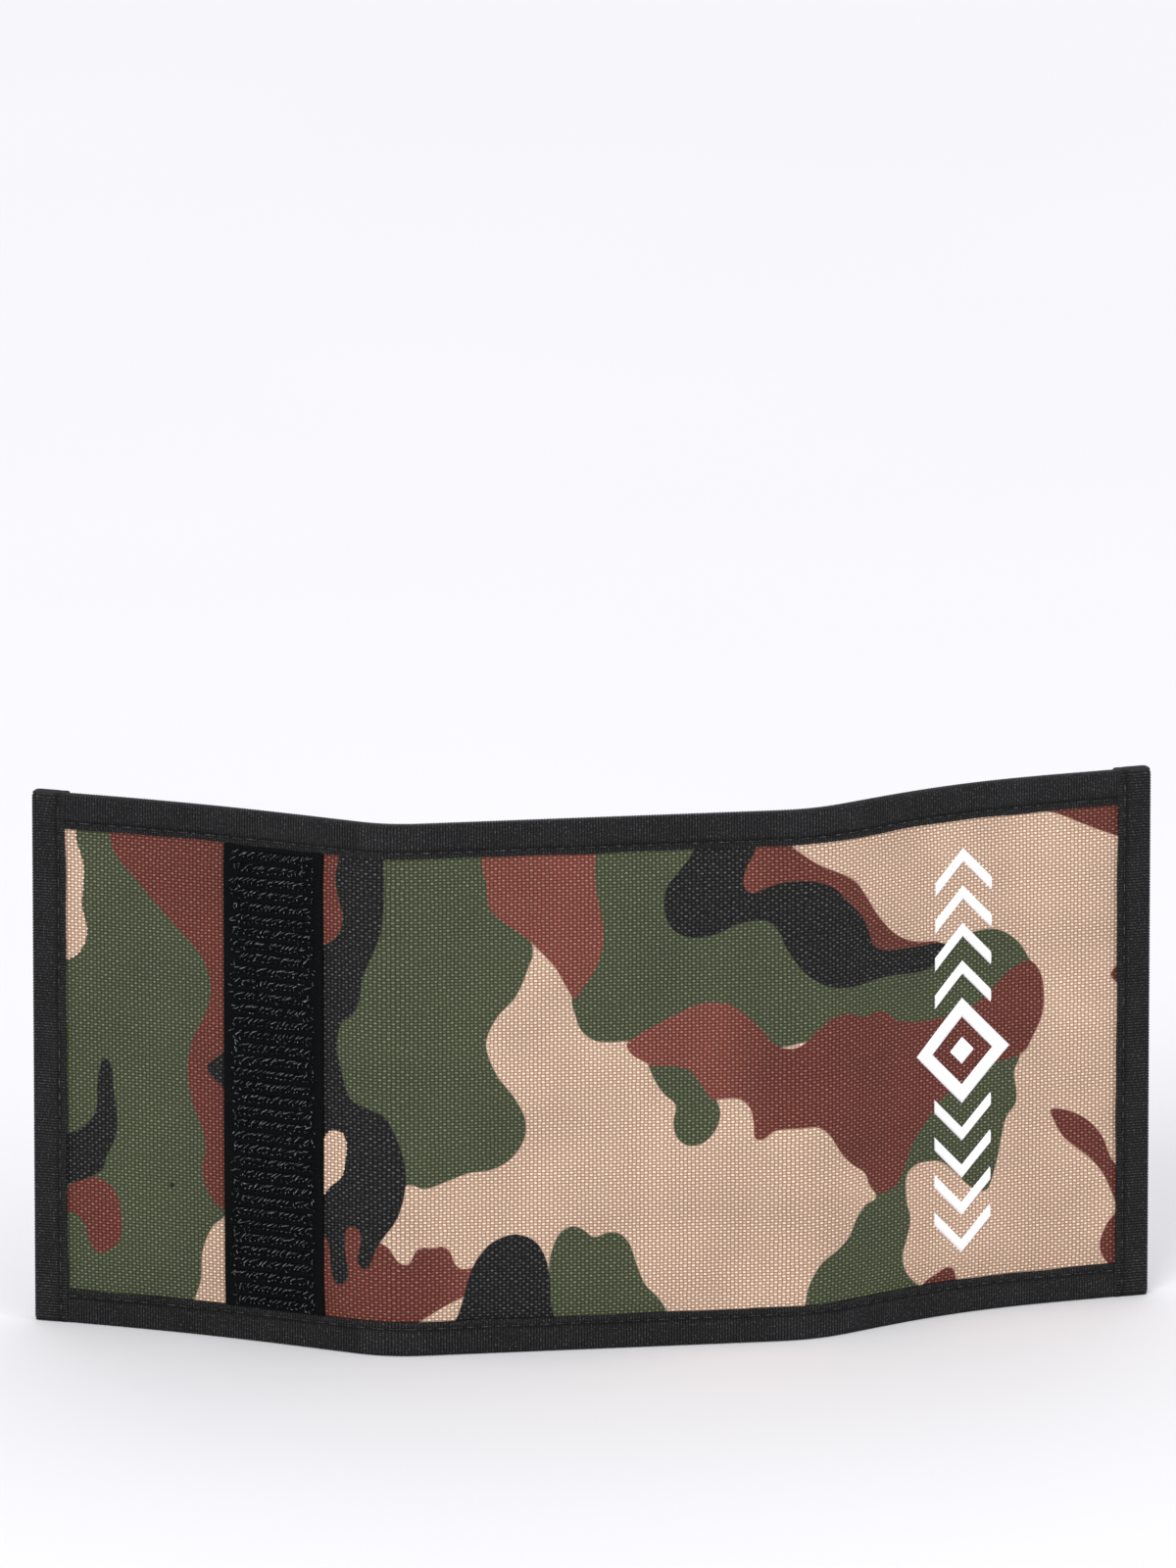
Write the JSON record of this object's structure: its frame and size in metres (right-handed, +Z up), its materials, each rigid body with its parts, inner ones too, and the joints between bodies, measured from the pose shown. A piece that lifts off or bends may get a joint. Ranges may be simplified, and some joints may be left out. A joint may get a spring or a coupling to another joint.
{
  "type": "trifold wallet",
  "caption": "Trifold cloth wallet with taped edges, hook-and-loop closure, card pockets and a zipped coin pocket.",
  "frame": {"origin": "centre of the footprint's box, on the surface that the wallet stands on", "axes": "+X along the middle panel, +Z up along the wallet's height; the outer cloth of the middle panel faces -Y"},
  "size_m": [0.2575, 0.0472, 0.125],
  "materials": {
    "camouflage_cloth": "printed plain-woven polyester",
    "binding_tape": "ribbed grosgrain tape",
    "lining": "plain-woven nylon",
    "pocket_cloth": "plain-woven nylon",
    "interlining": "matt felted",
    "hook_tape": "woven ground with glossy nylon hooks",
    "loop_tape": "brushed nylon pile",
    "embroidery_thread": "satin stitch",
    "clear_vinyl": "clear and flexible",
    "zip_tape": "twill-woven",
    "zip_coil": "nylon monofilament",
    "zip_metal": "pressed",
    "slider_metal": "satin lacquer"
  },
  "bodies": {
    "centre": {"centre_cloth": "camouflage_cloth", "centre_foam": "interlining", "centre_lining": "lining", "centre_divider": "lining", "centre_top_binding": "binding_tape", "centre_bottom_binding": "binding_tape", "centre_divider_binding": "binding_tape", "coin_pocket_front": "pocket_cloth", "coin_pocket_top": "pocket_cloth", "coin_pocket_gusset": "lining", "lower_zip_tape": "zip_tape", "upper_zip_tape": "zip_tape", "lower_zip_coil": "zip_coil", "upper_zip_coil": "zip_coil", "zip_end_stop": "zip_metal", "zip_start_stop": "zip_metal"},
    "left_spine": {"left_spine_cloth": "camouflage_cloth", "left_spine_lining": "lining", "left_spine_divider": "lining", "left_spine_top_binding": "binding_tape", "left_spine_bottom_binding": "binding_tape", "left_spine_divider_binding": "binding_tape"},
    "left_wing": {"left_wing_cloth": "camouflage_cloth", "left_wing_foam": "interlining", "left_wing_lining": "lining", "left_wing_divider": "lining", "left_wing_top_binding": "binding_tape", "left_wing_bottom_binding": "binding_tape", "left_wing_divider_binding": "binding_tape", "left_end_binding": "binding_tape", "hook_tape": "hook_tape", "back_card_pocket": "pocket_cloth", "front_card_pocket": "pocket_cloth", "window_pocket": "pocket_cloth", "clear_window": "clear_vinyl"},
    "right_spine": {"right_spine_cloth": "camouflage_cloth", "right_spine_lining": "lining", "right_spine_divider": "lining", "right_spine_top_binding": "binding_tape", "right_spine_bottom_binding": "binding_tape", "right_spine_divider_binding": "binding_tape"},
    "right_wing": {"right_wing_cloth": "camouflage_cloth", "right_wing_foam": "interlining", "right_wing_lining": "lining", "right_wing_divider": "lining", "right_wing_top_binding": "binding_tape", "right_wing_bottom_binding": "binding_tape", "right_wing_divider_binding": "binding_tape", "right_end_binding": "binding_tape", "loop_tape": "loop_tape", "stitched_motif": "embroidery_thread", "slip_pocket": "pocket_cloth"},
    "slider": {"zip_slider": "slider_metal"},
    "pull": {"zip_pull": "slider_metal"}
  },
  "joints": [
    {"name": "left_fold", "type": "hinge", "parent": "centre", "child": "left_spine", "pos_m": [-0.04818, -0.02021, 0], "axis": [0, 0, -1], "range_deg": [-15, 75]},
    {"name": "left_fold_outer", "type": "hinge", "parent": "left_spine", "child": "left_wing", "pos_m": [-0.05542, -0.01827, 0], "axis": [0, 0, -1], "range_deg": [-15, 75]},
    {"name": "right_fold", "type": "hinge", "parent": "centre", "child": "right_spine", "pos_m": [0.03757, -0.02021, 0], "axis": [0, 0, 1], "range_deg": [-9, 81]},
    {"name": "right_fold_outer", "type": "hinge", "parent": "right_spine", "child": "right_wing", "pos_m": [0.05239, -0.01786, 0], "axis": [0, 0, 1], "range_deg": [-9, 81]},
    {"name": "zip_slide", "type": "slide", "parent": "centre", "child": "slider", "axis": [1, 0, 0], "range_m": [0, 0.0604]},
    {"name": "pull_swing", "type": "hinge", "parent": "slider", "child": "pull", "pos_m": [-0.03563, -0.01641, 0.0963], "axis": [0, 0, 1], "range_deg": [0, 180]}
  ],
  "couplings": [
    {"joint": "left_fold_outer", "follows": "left_fold", "ratio": 1},
    {"joint": "right_fold_outer", "follows": "right_fold", "ratio": 1}
  ]
}
